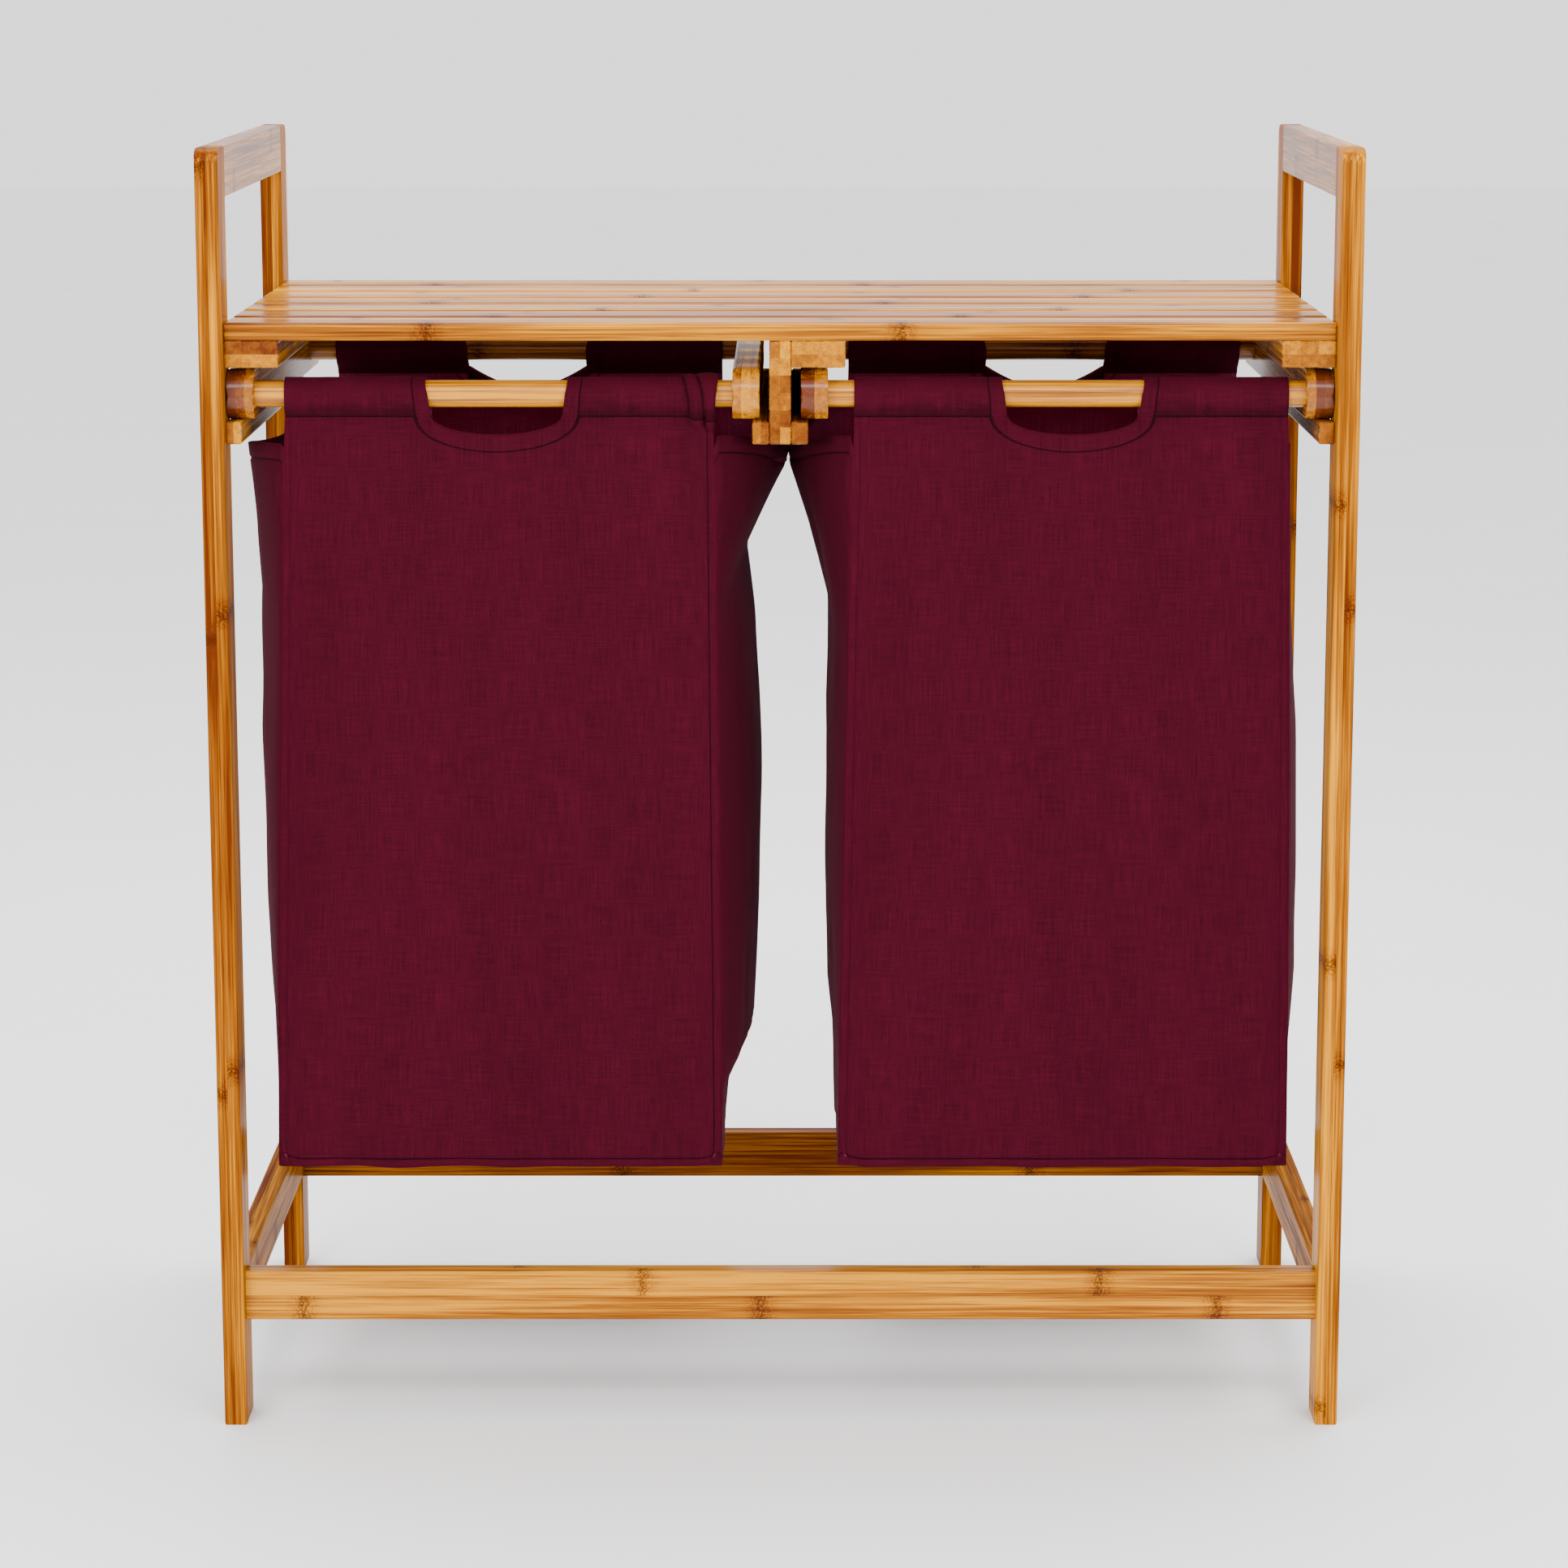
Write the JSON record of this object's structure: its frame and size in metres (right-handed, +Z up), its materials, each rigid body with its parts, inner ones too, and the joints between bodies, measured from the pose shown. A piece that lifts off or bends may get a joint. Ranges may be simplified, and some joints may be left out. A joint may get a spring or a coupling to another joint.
{
  "type": "laundry sorter",
  "caption": "Bamboo laundry sorter: an open frame with a slatted shelf and raised side handles, and hanging canvas bags on carriers that slide out to the front.",
  "frame": {"origin": "bottom centre of the whole object's box, on the floor", "axes": "+X to the right as seen from the front, +Y to the back, +Z up"},
  "size_m": [0.64, 0.33, 0.73],
  "materials": {
    "post_bamboo": "satin lacquer",
    "rail_bamboo": "satin lacquer",
    "slat_bamboo": "satin lacquer",
    "batten_bamboo": "satin lacquer",
    "runner_bamboo": "satin lacquer",
    "dowel_bamboo": "satin lacquer",
    "beech": "plain",
    "canvas": "matte plain weave",
    "zinc_steel": "zinc plated"
  },
  "bodies": {
    "frame": {"left_front_post": "post_bamboo", "left_rear_post": "post_bamboo", "right_front_post": "post_bamboo", "right_rear_post": "post_bamboo", "left_handle_rail": "rail_bamboo", "right_handle_rail": "rail_bamboo", "left_lower_rail": "rail_bamboo", "right_lower_rail": "rail_bamboo", "front_lower_rail": "rail_bamboo", "rear_lower_rail": "rail_bamboo", "left_runner_ledge": "batten_bamboo", "right_runner_ledge": "batten_bamboo", "centre_divider": "batten_bamboo", "centre_ledge_left": "batten_bamboo", "centre_ledge_right": "batten_bamboo", "left_shelf_cleat": "batten_bamboo", "centre_shelf_cleat": "batten_bamboo", "right_shelf_cleat": "batten_bamboo", "frame_bolts": "zinc_steel", "barrel_nuts": "zinc_steel", "shelf_bolts": "zinc_steel", "slat_screws": "zinc_steel", "divider_screws": "zinc_steel", "side_ledge_screws": "zinc_steel", "centre_ledge_screws": "zinc_steel", "left_glue_dowels": "beech", "right_glue_dowels": "beech", "shelf_slat_1": "slat_bamboo", "shelf_slat_2": "slat_bamboo", "shelf_slat_3": "slat_bamboo", "shelf_slat_4": "slat_bamboo", "shelf_slat_5": "slat_bamboo", "shelf_slat_6": "slat_bamboo", "shelf_slat_7": "slat_bamboo"},
    "left_carrier": {"left_outer_runner": "runner_bamboo", "left_inner_runner": "runner_bamboo", "left_front_dowel": "dowel_bamboo", "left_rear_dowel": "dowel_bamboo", "left_dowel_screws": "zinc_steel", "left_bag_front": "canvas", "left_bag_rear": "canvas", "left_bag_outer_gusset": "canvas", "left_bag_inner_gusset": "canvas", "left_bag_base": "canvas"},
    "right_carrier": {"right_outer_runner": "runner_bamboo", "right_inner_runner": "runner_bamboo", "right_front_dowel": "dowel_bamboo", "right_rear_dowel": "dowel_bamboo", "right_dowel_screws": "zinc_steel", "right_bag_front": "canvas", "right_bag_rear": "canvas", "right_bag_outer_gusset": "canvas", "right_bag_inner_gusset": "canvas", "right_bag_base": "canvas"}
  },
  "joints": [
    {"name": "left_carrier_slide", "type": "slide", "parent": "frame", "child": "left_carrier", "axis": [0, -1, 0], "range_m": [0, 0.23]},
    {"name": "right_carrier_slide", "type": "slide", "parent": "frame", "child": "right_carrier", "axis": [0, -1, 0], "range_m": [0, 0.23]}
  ]
}
